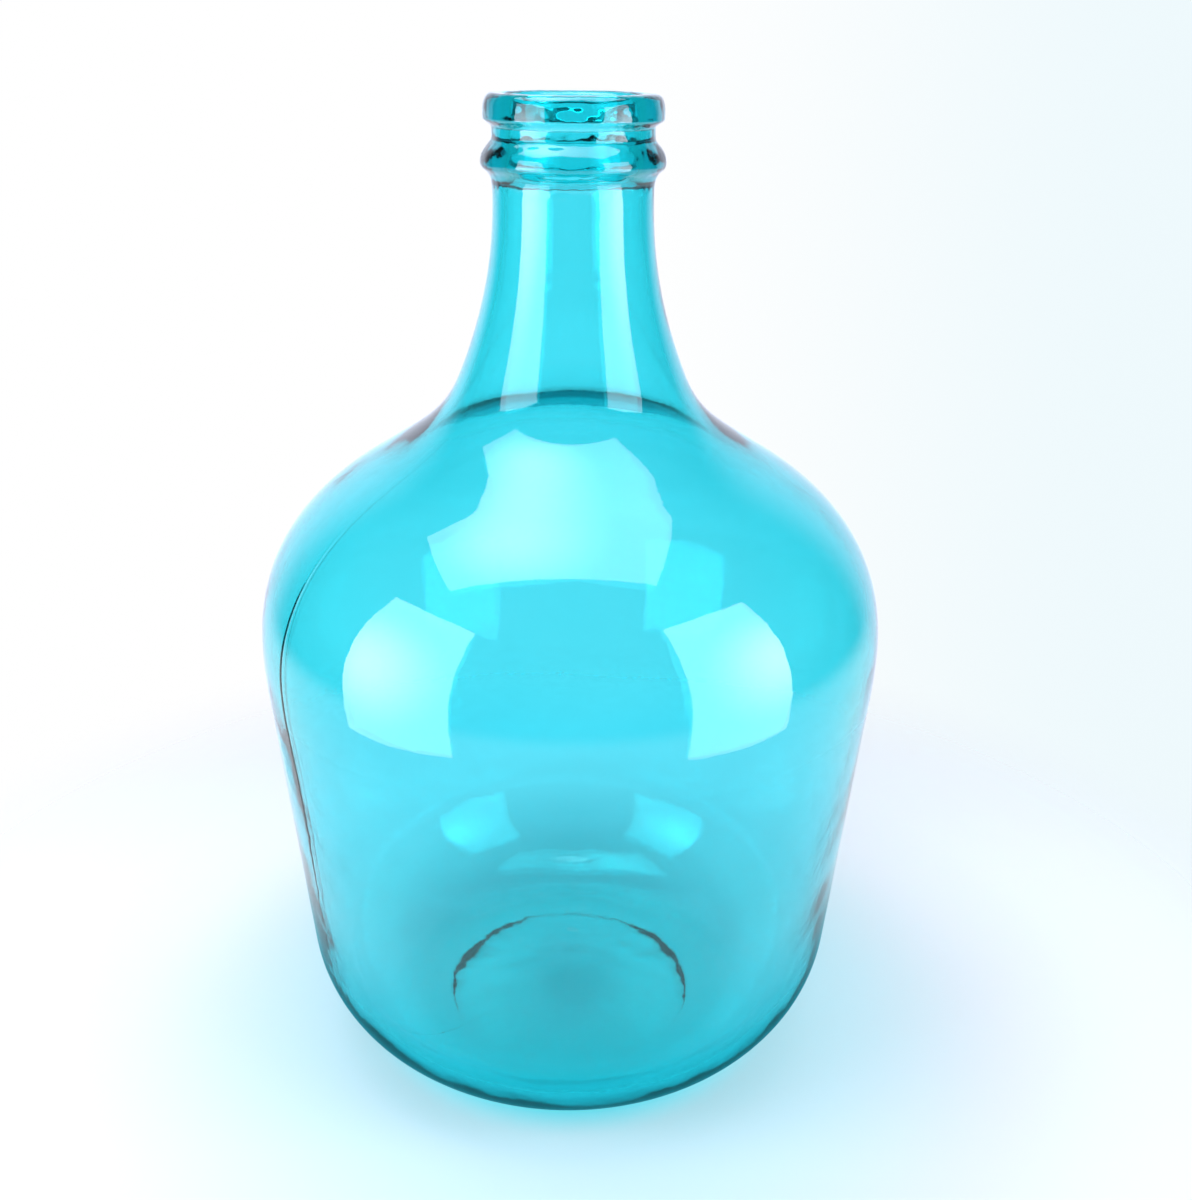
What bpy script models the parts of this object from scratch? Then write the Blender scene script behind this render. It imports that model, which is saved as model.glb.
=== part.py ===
"""Glass carboy: a 12 litre demijohn of tinted glass, blown in one piece.

It stands on the plane z = 0 with its axis on +Z. One profile, turned once round the axis, gives the
inside, the lip and the outside. Units are metres.
"""

import math
from collections import namedtuple

import bpy

# Driving dimensions.
HEIGHT = 0.420
BELLY_RADIUS = 0.134
BELLY_HEIGHT = 0.199
NECK_RADIUS = 0.0319
NECK_HEIGHT = 0.3835  # top of the plain neck, under the string ring
LIP_RADIUS = 0.03535
BORE_RADIUS = 0.0255
STRING_RING_RADIUS = 0.0364
HEEL_CURVE = 0.0605  # radius of the round heel, seen in section
TAPER = 5.4  # how far the body's straight side leans outwards, in degrees
TAPER_TOP = 0.180

# The flat ring that the bottle stands on, and the kick-up inside it.
STANDING_OUTER = 0.061
STANDING_INNER = 0.058
PUNT_RISE = 0.009
BASE_WALL = 0.0075  # at the centre

# Thickness of the glass: thinnest at the belly, where it was blown out furthest.
BELLY_WALL = 0.0042
NECK_WALL = 0.0050
HEEL_WALL = 0.0062

# Flat land on top of the lip, where a cap or a lid would seat.
LAND_INNER = 0.0290
LAND_OUTER = 0.0315

SCREW_STEPS = 48
HEEL_POINTS = 7
DOWN = -90

# A point that the section passes through, with its direction of travel in degrees from +X. lead_in and
# lead_out are the curve's handles on either side, as fractions of the distance to the next station, and
# steps is how many straight pieces reach it from the one before.
Station = namedtuple("Station", "radius height direction lead_in lead_out steps")


def lerp(start, end, amount):
    return start + (end - start) * amount


def wall_at(height):
    """Thickness of the glass at a height."""
    if height > BELLY_HEIGHT:
        amount = (height - BELLY_HEIGHT) / (NECK_HEIGHT - BELLY_HEIGHT)
        return lerp(BELLY_WALL, NECK_WALL, amount)
    amount = (BELLY_HEIGHT - height) / BELLY_HEIGHT
    return lerp(BELLY_WALL, HEEL_WALL, amount**3)


def curve_between(start, end):
    """(radius, height, direction) after start, up to and with end, along one cubic curve."""
    span = math.hypot(end.radius - start.radius, end.height - start.height)
    lead = math.radians(start.direction)
    trail = math.radians(end.direction)
    points = [
        (start.radius, start.height),
        (
            start.radius + start.lead_out * span * math.cos(lead),
            start.height + start.lead_out * span * math.sin(lead),
        ),
        (
            end.radius - end.lead_in * span * math.cos(trail),
            end.height - end.lead_in * span * math.sin(trail),
        ),
        (end.radius, end.height),
    ]
    found = []
    for step in range(1, end.steps + 1):
        t = step / end.steps
        weights = ((1 - t) ** 3, 3 * t * (1 - t) ** 2, 3 * t**2 * (1 - t), t**3)
        radius, height = (sum(w * p[i] for w, p in zip(weights, points)) for i in (0, 1))
        slopes = ((1 - t) ** 2, 2 * t * (1 - t), t**2)
        legs = [(b[0] - a[0], b[1] - a[1]) for a, b in zip(points, points[1:])]
        along = [sum(w * leg[i] for w, leg in zip(slopes, legs)) for i in (0, 1)]
        found.append((radius, height, math.atan2(along[1], along[0])))
    return found


def run_through(stations):
    """(radius, height, direction) along the curves that join the stations, both ends included."""
    first = stations[0]
    found = [(first.radius, first.height, math.radians(first.direction))]
    for start, end in zip(stations, stations[1:]):
        found += curve_between(start, end)
    return found


def finish():
    """Outside of the lip, the groove under it and the string ring, downwards from the land."""
    return run_through(
        [
            Station(LAND_OUTER, HEIGHT, 0, 0, 0.36, 0),
            Station(LIP_RADIUS, 0.4126, DOWN, 0.35, 0.51, 4),
            Station(NECK_RADIUS, 0.4062, DOWN, 0.46, 0.19, 4),
            Station(STRING_RING_RADIUS, 0.3950, DOWN, 0.57, 0.62, 5),
            Station(0.0329, 0.3892, -110, 0.35, 0.30, 3),
            Station(NECK_RADIUS, NECK_HEIGHT, DOWN, 0.30, 0, 2),
        ]
    )


def side():
    """Outside of the neck, shoulder, body and heel, down to the ring that the bottle stands on."""
    lean = math.radians(TAPER)
    heel_radius = STANDING_OUTER + HEEL_CURVE * math.cos(lean)
    heel_height = HEEL_CURVE * (1 - math.sin(lean))
    taper_radius = heel_radius + (TAPER_TOP - heel_height) * math.tan(lean)
    wall = run_through(
        [
            Station(NECK_RADIUS, NECK_HEIGHT, DOWN, 0, 0.215, 0),
            Station(0.0463, 0.3120, -67.7, 0.48, 0.363, 5),
            Station(0.0792, 0.2790, -32.3, 0.487, 0.185, 5),
            Station(BELLY_RADIUS, BELLY_HEIGHT, DOWN, 0.515, 0.35, 9),
            Station(taper_radius, TAPER_TOP, DOWN - TAPER, 0.35, 0.33, 2),
            Station(heel_radius, heel_height, DOWN - TAPER, 0.33, 0, 2),
        ]
    )
    for step in range(1, HEEL_POINTS + 1):
        turned = lerp(lean, math.pi / 2, step / HEEL_POINTS)
        radius = STANDING_OUTER + HEEL_CURVE * math.cos(turned)
        height = HEEL_CURVE * (1 - math.sin(turned))
        wall.append((radius, height, -math.pi / 2 - turned))
    return wall


def inside_of(wall):
    """The same run of wall, moved inwards by the thickness of the glass."""
    found = []
    for radius, height, direction in wall:
        thickness = wall_at(height)
        inner_radius = radius + thickness * math.sin(direction)
        inner_height = height - thickness * math.cos(direction)
        found.append((inner_radius, inner_height, direction))
    return found


def underside():
    """The kick-up under the base, inwards from the standing ring to the axis."""
    return run_through(
        [
            Station(STANDING_INNER, 0, 125, 0, 0.08, 0),
            Station(0.0500, 0.0030, 170, 0.50, 0.30, 3),
            Station(0, PUNT_RISE, 180, 0.40, 0, 4),
        ]
    )


def floor(edge):
    """Inside of the base, outwards from the axis to the inner end of the wall."""
    return run_through(
        [
            Station(0, PUNT_RISE + BASE_WALL, 0, 0, 0.40, 0),
            Station(edge[0], edge[1], 0, 0.40, 0, 5),
        ]
    )


def bore(neck):
    """Inside of the neck's top and of the lip, upwards to the land."""
    return run_through(
        [
            Station(neck[0], neck[1], 90, 0, 0.40, 0),
            Station(BORE_RADIUS, 0.3960, 90, 0.40, 0.30, 3),
            Station(BORE_RADIUS, 0.4150, 90, 0.30, 0.50, 1),
            Station(LAND_INNER, HEIGHT, 0, 0.50, 0, 4),
        ]
    )


def section():
    """The whole section: from the axis out along the floor, up the inside, and down the outside."""
    wall = side()
    inner = inside_of(wall)
    inner.reverse()
    runs = [floor(inner[0]), inner[1:-1], bore(inner[-1]), finish(), wall[1:], underside()]
    return [(radius, height) for run in runs for radius, height, _ in run]


def glass_material():
    material = bpy.data.materials.new("turquoise_glass")
    material.use_nodes = True
    shader = material.node_tree.nodes["Principled BSDF"]
    shader.inputs["Base Color"].default_value = (0.20, 0.76, 0.88, 1)
    shader.inputs["Metallic"].default_value = 0
    shader.inputs["Roughness"].default_value = 0.03
    shader.inputs["Transmission Weight"].default_value = 1
    shader.inputs["IOR"].default_value = 1.5
    return material


def glass_bottle(collection):
    """The bottle: the section turned once round +Z."""
    points = section()
    mesh = bpy.data.meshes.new("glass_bottle")
    edges = [(i, i + 1) for i in range(len(points) - 1)]
    mesh.from_pydata([(radius, 0, height) for radius, height in points], edges, [])
    mesh.materials.append(glass_material())
    bottle = bpy.data.objects.new("glass_bottle", mesh)
    collection.objects.link(bottle)
    turn = bottle.modifiers.new("turn", "SCREW")
    turn.axis = "Z"
    turn.angle = math.tau
    turn.steps = SCREW_STEPS
    turn.render_steps = SCREW_STEPS
    turn.use_merge_vertices = True
    turn.merge_threshold = 0.0001
    turn.use_smooth_shade = True
    return bottle


def main():
    for leftover in list(bpy.data.objects):
        bpy.data.objects.remove(leftover)
    collection = bpy.data.collections.new("glass_carboy")
    bpy.context.scene.collection.children.link(collection)
    glass_bottle(collection)


main()
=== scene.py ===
"""Looks for the glass carboy: one clear turquoise bottle on a pale floor, in soft studio light."""

import math
from collections import namedtuple

import bpy
import numpy as np
from mathutils import Matrix, Vector, noise

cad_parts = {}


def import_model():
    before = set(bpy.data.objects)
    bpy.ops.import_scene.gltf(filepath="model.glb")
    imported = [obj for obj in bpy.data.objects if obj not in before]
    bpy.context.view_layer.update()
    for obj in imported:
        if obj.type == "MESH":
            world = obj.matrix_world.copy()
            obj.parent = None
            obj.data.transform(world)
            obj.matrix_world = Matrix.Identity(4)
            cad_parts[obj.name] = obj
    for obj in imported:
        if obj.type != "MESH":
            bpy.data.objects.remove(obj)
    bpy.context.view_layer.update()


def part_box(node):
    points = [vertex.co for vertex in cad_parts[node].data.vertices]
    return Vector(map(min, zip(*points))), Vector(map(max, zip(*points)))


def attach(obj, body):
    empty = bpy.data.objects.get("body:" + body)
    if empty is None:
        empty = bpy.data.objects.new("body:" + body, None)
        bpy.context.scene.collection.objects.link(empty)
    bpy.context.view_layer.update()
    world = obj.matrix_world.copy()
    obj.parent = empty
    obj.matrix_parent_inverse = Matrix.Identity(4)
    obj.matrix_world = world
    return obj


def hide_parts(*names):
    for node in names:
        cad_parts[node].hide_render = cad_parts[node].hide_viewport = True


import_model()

# Driving dimensions, in metres. The height and the belly's radius come from the frame.
_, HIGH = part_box("glass_bottle")
HEIGHT = HIGH.z
BELLY_RADIUS = HIGH.x
BELLY_HEIGHT = 0.199
NECK_RADIUS = 0.0319
NECK_HEIGHT = 0.3835
LIP_RADIUS = 0.03535
BORE_RADIUS = 0.0255
STRING_RING_RADIUS = 0.0364
HEEL_CURVE = 0.0605
TAPER = 5.4  # degrees that the body leans in below the belly
TAPER_TOP = 0.180
STANDING_OUTER = 0.061
STANDING_INNER = 0.058
PUNT_RISE = 0.009
BASE_WALL = 0.0075
BELLY_WALL = 0.0042
NECK_WALL = 0.0050
HEEL_WALL = 0.0062
LAND_INNER = 0.0290
LAND_OUTER = 0.0315
DOWN = -90

SEGMENTS = 240  # even steps round the axis, besides the fine ones at the crease
HEEL_STEPS = 36

# The crease that the mould left down the front left of the body. Widths across it are in radians.
SEAM = 211.5  # azimuth, in degrees from +X
SEAM_STEPS = [0.07 * k for k in range(-24, 25)]  # fine steps across it, in degrees
SEAM_WIDTH = 0.0065
SEAM_DEPTH = 0.00024
SEAM_TOP = 0.262
SEAM_TOP_FADE = 0.03
SEAM_FOOT = 0.085
SEAM_FOOT_FADE = 0.05
SEAM_WANDER = 0.010
SEAM_SWAY = 55  # radians of its slow sway in each metre of height
SEAM_PULL = 0.25
RAGGED_TOP = 0.165  # it grows ragged below this height
RAGGED_GROWTH = 0.45
RAGGED_LENGTH = 0.007

# A small swelling beside the crease. Its azimuth and its width across are in radians.
SWELL_AZIMUTH = 3.58
SWELL_WIDTH = 0.045
SWELL_HEIGHT = 0.158
SWELL_LENGTH = 0.012
SWELL_PUSH = 0.0007
SWELL_RIPPLE = 0.006

# Ripples in each surface: how far they push it, and their wavelengths.
INNER_WAVE = 0.00017
INNER_LONG = 0.034
INNER_SHORT = 0.013
INNER_SHORT_PART = 0.35
OUTER_WAVE = 0.00004
OUTER_LONG = 0.03
LIP_WAVE = 0.00022
LIP_LONG = 0.010
LIP_SHORT = 0.0035
LIP_SHORT_PART = 0.5
FLOOR_WAVE = 0.0005
FLOOR_LONG = 0.013
FLOOR_RISE = 0.0008
FLOOR_RISE_RADIUS = 0.020

# A thicker ring where the neck opens into the shoulder, mostly at the back.
ARC_RIDGE = 0.0017
ARC_HEIGHT = 0.2805
ARC_WIDTH = 0.0075
BACK_LEAN = math.radians(8)

# The kick-up under the base: an uneven foot, and a rough lump in the middle.
FOOT_INNER = 0.008
FOOT_SPAN = 0.044
FOOT_FLATTENING = 0.8
FOOT_WAVE = 0.0007
FOOT_LONG = 0.16  # on a circle of radius 1
LUMP_X = 0.002
LUMP_Y = -0.012
LUMP_RADIUS = 0.014
LUMP_PUSH = 0.0022
LUMP_WAVE = 0.0006
PUNT_WAVE = 0.00014
PUNT_LONG = 0.010

GLASS_COLOUR = (0.050, 0.872, 0.885)
GLASS_DENSITY = 300

# Studio sizes and colours. Each panel is brightest at one point and fades away from it.
FLOOR_REACH = 3
FLOOR_DROP = 0.0002
HOT_REACH = 0.26  # how far from that point the panel stops fading
HOT_EDGE = 0.42  # what part of its light is left there
PANEL_TINT = (0.93, 1.0, 1.1)
BLACK = (0.0, 0.0, 0.0)
WHITE = (1.0, 1.0, 1.0)

CAMERA_PLACE = (0, -0.5593, 0.4388)
CAMERA_PITCH = math.radians(22.28)
CAMERA_YAW = math.radians(1.03)
CAMERA_ROLL = math.radians(0.27)

# A point of the section: the way it runs there in degrees, the handles of the curves that come in
# and go out as parts of the span, and how many steps lead to it from the point before.
Station = namedtuple("Station", "radius height direction lead_in lead_out steps")


def lerp(start, end, amount):
    return start + (end - start) * amount


def clamped(amount):
    return min(1, max(0, amount))


def wall_at(height):
    """Thickness of the glass at a height: thinnest at the belly."""
    if height > BELLY_HEIGHT:
        return lerp(BELLY_WALL, NECK_WALL, (height - BELLY_HEIGHT) / (NECK_HEIGHT - BELLY_HEIGHT))
    return lerp(BELLY_WALL, HEEL_WALL, ((BELLY_HEIGHT - height) / BELLY_HEIGHT) ** 3)


def curve_between(start, end):
    """(radius, height, direction) after start, up to and with end, along one cubic curve."""
    span = math.hypot(end.radius - start.radius, end.height - start.height)
    lead, trail = math.radians(start.direction), math.radians(end.direction)
    points = np.array(
        [
            (start.radius, start.height),
            (
                start.radius + start.lead_out * span * math.cos(lead),
                start.height + start.lead_out * span * math.sin(lead),
            ),
            (
                end.radius - end.lead_in * span * math.cos(trail),
                end.height - end.lead_in * span * math.sin(trail),
            ),
            (end.radius, end.height),
        ]
    )
    legs = np.diff(points, axis=0)
    found = []
    for step in range(1, end.steps + 1):
        t = step / end.steps
        weights = np.array([(1 - t) ** 3, 3 * t * (1 - t) ** 2, 3 * t**2 * (1 - t), t**3])
        radius, height = weights @ points
        along = np.array([(1 - t) ** 2, 2 * t * (1 - t), t**2]) @ legs
        found.append((radius, height, math.atan2(along[1], along[0])))
    return found


def run_through(stations):
    """(radius, height, direction) of each point, from the first station through to the last."""
    first = stations[0]
    found = [(first.radius, first.height, math.radians(first.direction))]
    for start, end in zip(stations, stations[1:]):
        found += curve_between(start, end)
    return found


def finish_outside():
    """The lip, the groove under it and the string ring, downwards from the land."""
    return run_through(
        [
            Station(LAND_OUTER, HEIGHT, 0, 0, 0.36, 0),
            Station(LIP_RADIUS, 0.4110, DOWN, 0.50, 0.30, 20),  # side of the lip
            Station(NECK_RADIUS, 0.4074, DOWN, 0.30, 0.30, 16),  # top of the groove
            Station(NECK_RADIUS, 0.4042, DOWN, 0.30, 0.25, 6),  # foot of the groove
            Station(STRING_RING_RADIUS, 0.3948, DOWN, 0.50, 0.45, 22),  # side of the string ring
            Station(0.0329, 0.3896, -118, 0.45, 0.30, 16),  # under the ring
            Station(NECK_RADIUS, NECK_HEIGHT, DOWN, 0.30, 0, 10),
        ]
    )


def side_outside():
    """The neck, shoulder, body and heel, down to the ring that the bottle stands on."""
    lean = math.radians(TAPER)
    heel_radius = STANDING_OUTER + HEEL_CURVE * math.cos(lean)
    heel_height = HEEL_CURVE * (1 - math.sin(lean))
    taper_radius = heel_radius + (TAPER_TOP - heel_height) * math.tan(lean)
    run = run_through(
        [
            Station(NECK_RADIUS, NECK_HEIGHT, DOWN, 0, 0.215, 0),
            Station(0.0463, 0.3120, -67.7, 0.48, 0.363, 30),  # foot of the neck
            Station(0.0792, 0.2790, -32.3, 0.487, 0.185, 30),  # flattest part of the shoulder
            Station(BELLY_RADIUS, BELLY_HEIGHT, DOWN, 0.515, 0.35, 50),
            Station(taper_radius, TAPER_TOP, DOWN - TAPER, 0.35, 0.33, 12),
            Station(heel_radius, heel_height, DOWN - TAPER, 0.33, 0, 40),
        ]
    )
    for step in range(1, HEEL_STEPS + 1):
        turned = lerp(lean, math.pi / 2, step / HEEL_STEPS)
        radius = STANDING_OUTER + HEEL_CURVE * math.cos(turned)
        run.append((radius, HEEL_CURVE * (1 - math.sin(turned)), -math.pi / 2 - turned))
    return run


def inside_of(run):
    """The same run of wall, moved inwards by the thickness of the glass."""
    return [
        (r + wall_at(h) * math.sin(d), h - wall_at(h) * math.cos(d), d) for r, h, d in run
    ]


def underside():
    """The kick-up under the base, inwards from the standing ring to the axis."""
    return run_through(
        [
            Station(STANDING_INNER, 0, 125, 0, 0.08, 0),
            Station(0.0500, 0.0030, 170, 0.50, 0.30, 14),  # end of the steep foot
            Station(0, PUNT_RISE, 180, 0.40, 0, 20),
        ]
    )


def floor_inside(edge):
    """The inner floor, outwards from the axis to the edge."""
    return run_through(
        [
            Station(0, PUNT_RISE + BASE_WALL, 0, 0, 0.40, 0),
            Station(edge[0], edge[1], 0, 0.40, 0, 30),
        ]
    )


def bore(neck):
    """Inside of the neck's top and of the lip, upwards to the land."""
    return run_through(
        [
            Station(neck[0], neck[1], 90, 0, 0.40, 0),
            Station(BORE_RADIUS, 0.3960, 90, 0.40, 0.30, 12),  # foot of the straight bore
            Station(BORE_RADIUS, 0.4150, 90, 0.30, 0.50, 12),  # top of the straight bore
            Station(LAND_INNER, HEIGHT, 0, 0.50, 0, 10),
        ]
    )


def angles_round():
    """Angles round the axis, closer together at the crease."""
    even = [math.tau * k / SEGMENTS for k in range(SEGMENTS)]
    near = [math.radians(SEAM + step) for step in SEAM_STEPS]
    return np.array(sorted(even + near))


def ripple(points, wavelength, shift):
    """Smooth noise from -1 to 1 at each point. Each shift reads another part of the noise."""
    aside = Vector((shift, 0, 0))
    return np.array([noise.noise(Vector(point) / wavelength + aside) for point in points])


def stray(angle, height):
    """The crease isn't straight: the mesh is turned a little at each height to follow it."""
    ragged = RAGGED_GROWTH * max(0, RAGGED_TOP - height)
    swing = SEAM_WANDER * math.sin(height * SEAM_SWAY)
    swing += ragged * noise.noise(Vector((height / RAGGED_LENGTH, 2, 5)))
    return swing * np.exp(-(((angle - math.radians(SEAM)) / SEAM_PULL) ** 2))


def crease(angle, height):
    """The shallow groove that the join of the mould leaves down the outside of the body."""
    off = angle - math.radians(SEAM)
    ends = clamped((SEAM_TOP - height) / SEAM_TOP_FADE) * clamped((height - SEAM_FOOT) / SEAM_FOOT_FADE)
    return -SEAM_DEPTH * ends * np.exp(-((off / SEAM_WIDTH) ** 2))


def swelling(points, angle, height):
    """A small raised patch beside the crease, uneven in itself."""
    across, up = (angle - SWELL_AZIMUTH) / SWELL_WIDTH, (height - SWELL_HEIGHT) / SWELL_LENGTH
    return SWELL_PUSH * np.exp(-(across**2) - up**2) * (1 + ripple(points, SWELL_RIPPLE, 4))


def relief(kind, ring, angle):
    """How far each point of a ring is pushed along the section's normal, outwards positive."""
    radius, height, _ = ring
    x, y = radius * np.cos(angle), radius * np.sin(angle)
    points = np.column_stack([x, y, np.full_like(x, height)])
    if kind == "inner":
        push = INNER_WAVE * ripple(points, INNER_LONG, 3)
        push += INNER_WAVE * INNER_SHORT_PART * ripple(points, INNER_SHORT, 9)
        facing_back = 0.5 + 0.5 * np.sin(angle - BACK_LEAN)
        return push - ARC_RIDGE * facing_back * np.exp(-(((height - ARC_HEIGHT) / ARC_WIDTH) ** 2))
    if kind == "outer":
        push = OUTER_WAVE * ripple(points, OUTER_LONG, 17) + crease(angle, height)
        return push + swelling(points, angle, height)
    if kind == "lip":
        return LIP_WAVE * (ripple(points, LIP_LONG, 5) + LIP_SHORT_PART * ripple(points, LIP_SHORT, 8))
    if kind == "floor":
        middle = math.exp(-((radius / FLOOR_RISE_RADIUS) ** 2))
        return FLOOR_RISE * middle + FLOOR_WAVE * ripple(points, FLOOR_LONG, 21)
    middle = np.exp(-(((x - LUMP_X) ** 2 + (y - LUMP_Y) ** 2) / LUMP_RADIUS**2))
    return LUMP_PUSH * middle + (PUNT_WAVE + LUMP_WAVE * middle) * ripple(points, PUNT_LONG, 30)


def uneven_foot(radius, height, angle):
    """The foot of the kick-up, steep at the sides and soft at the back and front."""
    step = clamped((radius - FOOT_INNER) / FOOT_SPAN)
    circle = np.column_stack([np.cos(angle), np.sin(angle), np.zeros_like(angle)])
    wavy = radius + FOOT_WAVE * step * ripple(circle, FOOT_LONG, 40)
    return wavy, height * (1 - FOOT_FLATTENING * step * np.sin(angle) ** 2)


def ring_points(kind, ring, angle):
    """One ring of the mesh's points, turned from one point of the section."""
    radius, height, direction = ring
    push = relief(kind, ring, angle)
    turned = angle + stray(angle, height) if kind == "outer" else angle
    if kind == "under":
        radius, height = uneven_foot(radius, height, angle)
    # The section goes one way round the glass, so outwards is on the same side of it everywhere.
    r = radius + push * -math.sin(direction)
    z = height + push * math.cos(direction)
    return np.column_stack([r * np.cos(turned), r * np.sin(turned), z])


def point_on_axis(kind, ring):
    _, height, direction = ring
    push = float(relief(kind, ring, np.zeros(1))[0])
    return (0, 0, height + push * math.cos(direction))


def turned_mesh(name, runs):
    """A closed mesh: the section's runs, from axis to axis, turned round +Z."""
    angle = angles_round()
    count = len(angle)
    rings = [(kind, ring) for kind, run in runs for ring in run]
    rows = [ring_points(kind, ring, angle) for kind, ring in rings[1:-1]]
    points = np.vstack(rows + [[point_on_axis(*rings[0]), point_on_axis(*rings[-1])]])
    first, last = len(points) - 2, len(points) - 1
    here, after = np.arange(count), (np.arange(count) + 1) % count
    faces = []
    for i in range(len(rows) - 1):
        low, high = i * count, (i + 1) * count
        quads = np.column_stack([low + after, low + here, high + here, high + after])
        faces += quads.tolist()
    tail = (len(rows) - 1) * count
    faces += np.column_stack([here, after, np.full(count, first)]).tolist()
    faces += np.column_stack([tail + after, tail + here, np.full(count, last)]).tolist()
    mesh = bpy.data.meshes.new(name)
    mesh.from_pydata(points.tolist(), [], faces)
    mesh.validate()
    mesh.shade_smooth()
    return mesh


def cloudy(tree, place, scale, detail):
    """A noise texture's value at the place."""
    node = tree.nodes.new("ShaderNodeTexNoise")
    node.inputs["Scale"].default_value = scale
    node.inputs["Detail"].default_value = detail
    tree.links.new(place, node.inputs["Vector"])
    return node.outputs["Fac"]


def glass():
    """Clear turquoise glass, coloured through its thickness, with the faint texture of old blown glass."""
    material = bpy.data.materials.new("turquoise_glass")
    material.use_nodes = True
    tree = material.node_tree
    shader = tree.nodes["Principled BSDF"]
    shader.inputs["Base Color"].default_value = (*WHITE, 1)
    shader.inputs["IOR"].default_value = 1.5
    shader.inputs["Transmission Weight"].default_value = 1
    place = tree.nodes.new("ShaderNodeTexCoord").outputs["Object"]
    worn = tree.nodes.new("ShaderNodeMapRange")
    worn.inputs["From Min"].default_value = 0.35
    worn.inputs["From Max"].default_value = 0.75
    worn.inputs["To Min"].default_value = 0.0
    worn.inputs["To Max"].default_value = 0.05
    tree.links.new(cloudy(tree, place, scale=45, detail=3), worn.inputs["Value"])
    tree.links.new(worn.outputs["Result"], shader.inputs["Roughness"])
    bump = tree.nodes.new("ShaderNodeBump")
    bump.inputs["Strength"].default_value = 0.25
    bump.inputs["Distance"].default_value = 0.00006
    tree.links.new(cloudy(tree, place, scale=260, detail=2), bump.inputs["Height"])
    tree.links.new(bump.outputs["Normal"], shader.inputs["Normal"])
    absorb = tree.nodes.new("ShaderNodeVolumeAbsorption")
    absorb.inputs["Color"].default_value = (*GLASS_COLOUR, 1)
    absorb.inputs["Density"].default_value = GLASS_DENSITY
    tree.links.new(absorb.outputs["Volume"], tree.nodes["Material Output"].inputs["Volume"])
    return material


def carboy():
    """The whole bottle as one closed mesh."""
    outer = side_outside()
    inner = inside_of(outer)[::-1]
    # Where two runs meet they share a point, which only one of them keeps. The land's outer point is
    # left out too, so that the top of the lip starts to fall a little sooner.
    runs = [
        ("floor", floor_inside(inner[0])[:-1]),
        ("inner", inner),
        ("lip", bore(inner[-1])[1:]),
        ("lip", finish_outside()[1:-1]),
        ("outer", outer),
        ("under", underside()),
    ]
    bottle = bpy.data.objects.new("carboy_glass", turned_mesh("carboy_glass", runs))
    bpy.context.scene.collection.objects.link(bottle)
    bottle.data.materials.append(glass())
    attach(bottle, "root")
    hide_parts("glass_bottle")


# Studio.
def smooth(tree, value, low, high):
    """0 at low, 1 at high, and an eased step between them."""
    node = tree.nodes.new("ShaderNodeMapRange")
    node.interpolation_type = "SMOOTHSTEP"
    node.inputs["From Min"].default_value = low
    node.inputs["From Max"].default_value = high
    tree.links.new(value, node.inputs["Value"])
    return node.outputs["Result"]


def times(tree, first, second):
    node = tree.nodes.new("ShaderNodeMath")
    node.operation = "MULTIPLY"
    tree.links.new(first, node.inputs[0])
    tree.links.new(second, node.inputs[1])
    return node.outputs["Value"]


def blend(tree, amount, first, second):
    """The first colour where amount is 0 and the second where it's 1."""
    node = tree.nodes.new("ShaderNodeMix")
    node.data_type = "RGBA"
    tree.links.new(amount, node.inputs["Factor"])
    for name, colour in (("A", first), ("B", second)):
        if isinstance(colour, tuple):
            node.inputs[name].default_value = (*colour, 1)
        else:
            tree.links.new(colour, node.inputs[name])
    return node.outputs["Result"]


def distance(tree, value, centre):
    node = tree.nodes.new("ShaderNodeVectorMath")
    node.operation = "DISTANCE"
    node.inputs[1].default_value = centre
    tree.links.new(value, node.inputs[0])
    return node.outputs["Value"]


def axes_of(tree, value):
    """The X, Y and Z of a vector."""
    node = tree.nodes.new("ShaderNodeSeparateXYZ")
    tree.links.new(value, node.inputs[0])
    return (node.outputs[axis] for axis in "XYZ")


def flat_card(name, width, height, material):
    """A flat rectangle, centred on its own origin and facing its own +Z."""
    mesh = bpy.data.meshes.new(name)
    x, y = width / 2, height / 2
    mesh.from_pydata([(-x, -y, 0), (x, -y, 0), (x, y, 0), (-x, y, 0)], [], [(0, 1, 2, 3)])
    mesh.materials.append(material)
    card = bpy.data.objects.new(name, mesh)
    bpy.context.scene.collection.objects.link(card)
    return card


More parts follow.
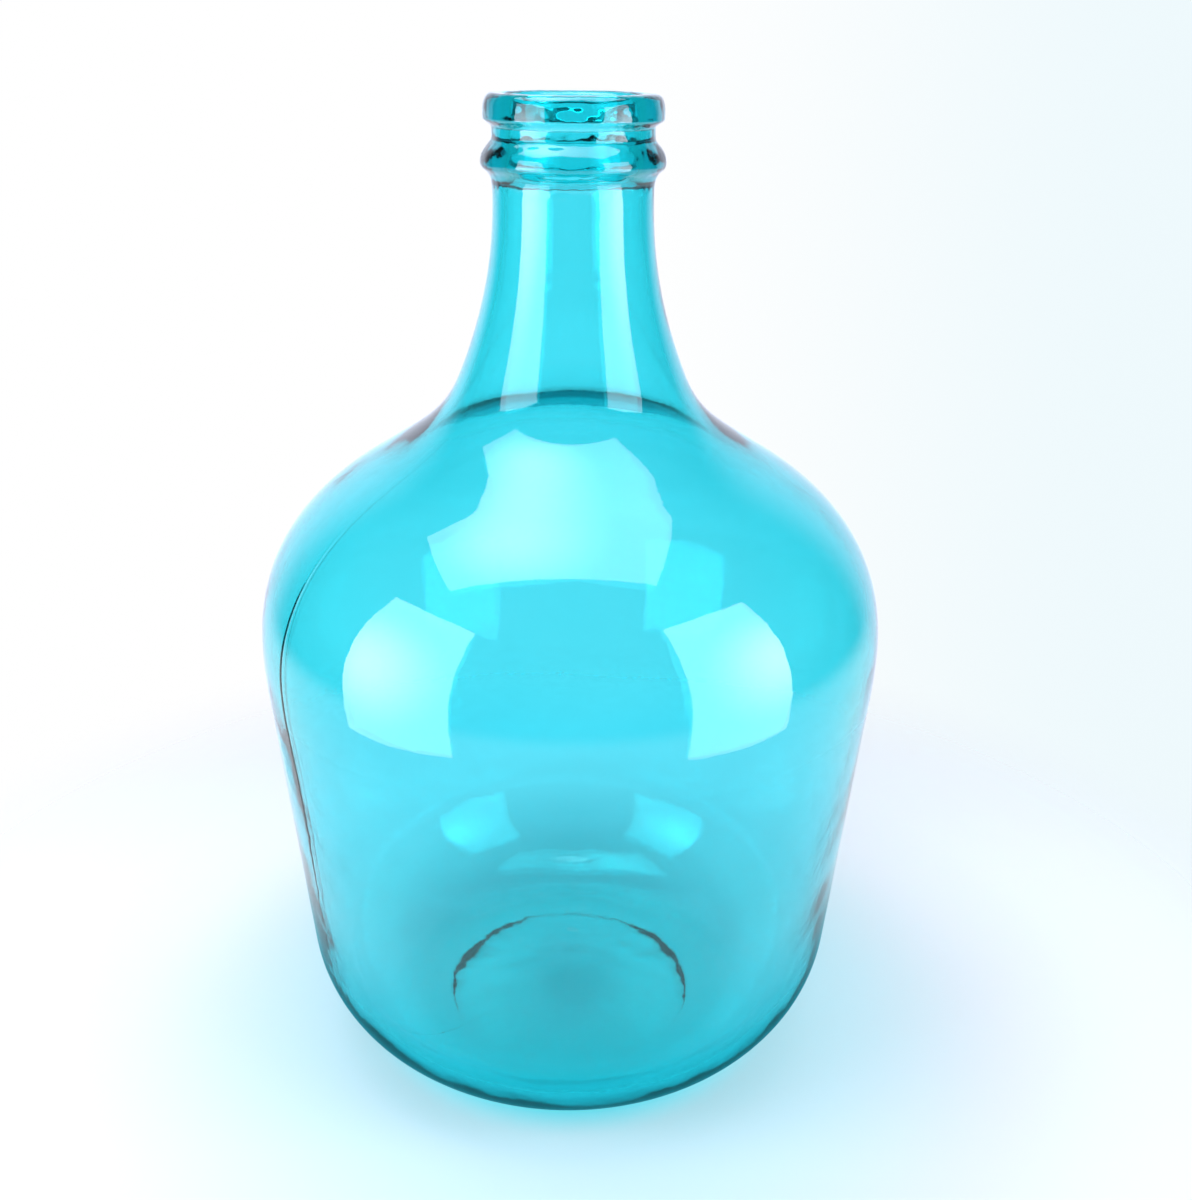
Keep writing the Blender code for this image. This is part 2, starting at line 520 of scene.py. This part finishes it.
def floor_paper_painted_light():
    """Matt pale paper with painted shadow and painted light round the bottle. It turns clear a little way
    from it, where the backdrop takes over.
    """
    material = bpy.data.materials.new("floor_paper_painted_light")
    material.use_nodes = True
    tree = material.node_tree
    shader = tree.nodes["Principled BSDF"]
    shader.inputs["Roughness"].default_value = 0.8
    shader.inputs["Specular IOR Level"].default_value = 0.1
    place = tree.nodes.new("ShaderNodeTexCoord").outputs["Object"]
    path = tree.nodes.new("ShaderNodeLightPath")
    _, y, _ = axes_of(tree, place)
    # Painted light: the paper grows lighter towards the back, as if lit by the wall behind.
    back = smooth(tree, y, -0.14, 0.14)
    # Painted shadow near the bottle, where the paper also gets a painted cyan glow.
    near = smooth(tree, distance(tree, place, (0, -0.01, 0)), 0.22, 0.12)
    out = distance(tree, place, (0, 0, 0))
    # Painted shadow under the base, tinted as if the light came through the glass.
    base = smooth(tree, out, 0.102, 0.066)
    # Painted shade that only reflections see round the heel, which outlines the foot of the bottle in the
    # glass.
    heel = times(tree, smooth(tree, out, 0.210, 0.120), path.outputs["Is Reflection Ray"])
    # Painted light and shade: lighter at the back, darker near the bottle and under it, tinted as if lit
    # through glass.
    lit_and_shaded_tone = blend(tree, back, (0.53, 0.53, 0.53), (0.69, 0.68, 0.70))
    lit_and_shaded_tone = blend(tree, near, lit_and_shaded_tone, (0.46, 0.44, 0.47))
    lit_and_shaded_tone = blend(tree, base, lit_and_shaded_tone, (0.04, 0.56, 0.60))
    lit_and_shaded_tone = blend(tree, heel, lit_and_shaded_tone, (0.04, 0.26, 0.31))
    tree.links.new(lit_and_shaded_tone, shader.inputs["Base Color"])
    # Painted light as emission: a grey glow at the back and a cyan one round the bottle, as if through the
    # glass.
    painted_glow = blend(tree, back, BLACK, (0.10, 0.10, 0.10))
    painted_glow = blend(tree, near, painted_glow, (0.10, 0.32, 0.35))
    # Painted light: seen through the glass, the paper behind and under it glows brighter and cyan.
    painted_light_behind_glass = blend(tree, back, (0.04, 0.14, 0.20), (0.12, 0.28, 0.42))
    painted_light_behind_glass = blend(tree, near, painted_light_behind_glass, (0.14, 0.46, 0.58))
    painted_glow = blend(tree, path.outputs["Is Transmission Ray"], painted_glow, painted_light_behind_glass)
    # Painted cyan light under the base, and a dimmer glow in the painted reflection shade round the heel.
    painted_glow = blend(tree, base, painted_glow, (0.0, 0.57, 0.68))
    painted_glow = blend(tree, heel, painted_glow, (0.0, 0.12, 0.15))
    tree.links.new(painted_glow, shader.inputs["Emission Color"])
    shader.inputs["Emission Strength"].default_value = 1
    clear = tree.nodes.new("ShaderNodeBsdfTransparent")
    mix = tree.nodes.new("ShaderNodeMixShader")
    fade = smooth(tree, distance(tree, place, (0, 0.01, 0)), 0.25, 0.43)
    tree.links.new(fade, mix.inputs["Fac"])
    tree.links.new(shader.outputs["BSDF"], mix.inputs[1])
    tree.links.new(clear.outputs["BSDF"], mix.inputs[2])
    tree.links.new(mix.outputs["Shader"], tree.nodes["Material Output"].inputs["Surface"])
    return material


def pale_floor():
    """The sheet that the bottle stands on, just under the bottle's lowest point."""
    floor = flat_card("floor", 2 * FLOOR_REACH, 2 * FLOOR_REACH, floor_paper_painted_light())
    floor.location.z = -FLOOR_DROP


def panel_light(name, radiance, hot):
    """A lamp's face, brightest at the point hot. Its back is black."""
    material = bpy.data.materials.new(name)
    material.use_nodes = True
    tree = material.node_tree
    tree.nodes.remove(tree.nodes["Principled BSDF"])
    place = tree.nodes.new("ShaderNodeTexCoord").outputs["Object"]
    hotness = smooth(tree, distance(tree, place, (*hot, 0)), HOT_REACH, 0)
    colour = tuple(radiance * part for part in PANEL_TINT)
    shine = blend(tree, hotness, tuple(HOT_EDGE * part for part in colour), colour)
    behind = tree.nodes.new("ShaderNodeNewGeometry").outputs["Backfacing"]
    emission = tree.nodes.new("ShaderNodeEmission")
    tree.links.new(blend(tree, behind, shine, BLACK), emission.inputs["Color"])
    tree.links.new(emission.outputs["Emission"], tree.nodes["Material Output"].inputs["Surface"])
    return material


def panel(name, centre, facing, width, height, radiance, hot):
    """A soft rectangular light that the camera itself doesn't see."""
    light = flat_card(name, width, height, panel_light(name, radiance, hot))
    light.location = centre
    light.rotation_mode = "QUATERNION"
    light.rotation_quaternion = (Vector(facing) - Vector(centre)).to_track_quat("Z", "Y")
    light.visible_camera = False


def panels():
    """Two upright panels in front of the bottle, left and right, and one overhead."""
    panel(
        "left_panel",
        centre=(-0.408, -0.2825, 0.30),
        facing=(0, 0.013, 0.30),
        width=0.345,
        height=0.60,
        radiance=11.0,
        hot=(0.077, -0.02),
    )
    panel(
        "right_panel",
        centre=(0.41, -0.29, 0.31),
        facing=(0.12, -0.01, 0.31),
        width=0.335,
        height=0.62,
        radiance=10.5,
        hot=(-0.108, -0.01),
    )
    panel(
        "top_panel",
        centre=(-0.073, -0.075, 0.75),
        facing=(-0.073, -0.074, 0),
        width=0.645,
        height=0.30,
        radiance=8.0,
        hot=(0.06, 0.02),
    )


def world():
    """A white wall behind the bottle in a dim room. The camera itself sees pale paper all round."""
    made = bpy.data.worlds.new("studio")
    bpy.context.scene.world = made
    made.use_nodes = True
    tree = made.node_tree
    x, y, z = axes_of(tree, tree.nodes.new("ShaderNodeTexCoord").outputs["Generated"])
    path = tree.nodes.new("ShaderNodeLightPath")
    wall = times(tree, smooth(tree, y, 0.50, 0.82), smooth(tree, z, 0.95, 0.70))
    white = blend(tree, smooth(tree, x, -0.3, 0.6), (1.12, 1.22, 1.45), (0.98, 1.06, 1.28))
    room = blend(tree, smooth(tree, y, -0.2, -0.8), (0.60, 0.66, 0.72), (0.30, 0.47, 0.52))
    # A reflection in the glass meets the dark room, and lower down the bright sheet in front.
    dim = (0.05, 0.14, 0.17)
    mirrored = blend(tree, smooth(tree, z, -0.16, -0.34), dim, (1.3, 1.45, 1.5))
    room = blend(tree, path.outputs["Is Glossy Ray"], room, mirrored)
    # Through the glass the sides are as pale as the backdrop, and the front is darker.
    beside = blend(tree, smooth(tree, y, 0.0, -0.5), (0.9, 1.0, 1.1), (0.32, 0.42, 0.46))
    beside = blend(tree, smooth(tree, z, 0.35, 0.70), beside, dim)
    room = blend(tree, path.outputs["Is Transmission Ray"], room, beside)
    light = blend(tree, wall, room, white)
    # Painted shade: the paper that the camera sees is a little darker and bluer towards the right.
    paper = blend(tree, smooth(tree, x, 0.0, 0.4), WHITE, (0.86, 0.95, 0.98))
    seen = blend(tree, path.outputs["Is Camera Ray"], light, paper)
    tree.links.new(seen, tree.nodes["Background"].inputs["Color"])


def camera():
    """The photograph's point of view."""
    data = bpy.data.cameras.new("camera")
    data.lens, data.sensor_width = 41.0, 36.0
    cam = bpy.data.objects.new("camera", data)
    bpy.context.scene.collection.objects.link(cam)
    turn = Matrix.Rotation(math.pi / 2 - CAMERA_PITCH, 4, "X")
    turn = turn @ Matrix.Rotation(-CAMERA_YAW, 4, "Y") @ Matrix.Rotation(CAMERA_ROLL, 4, "Z")
    cam.matrix_world = Matrix.Translation(CAMERA_PLACE) @ turn
    bpy.context.scene.camera = cam


carboy()
pale_floor()
panels()
world()
camera()
bpy.context.scene.view_settings.view_transform = "Standard"
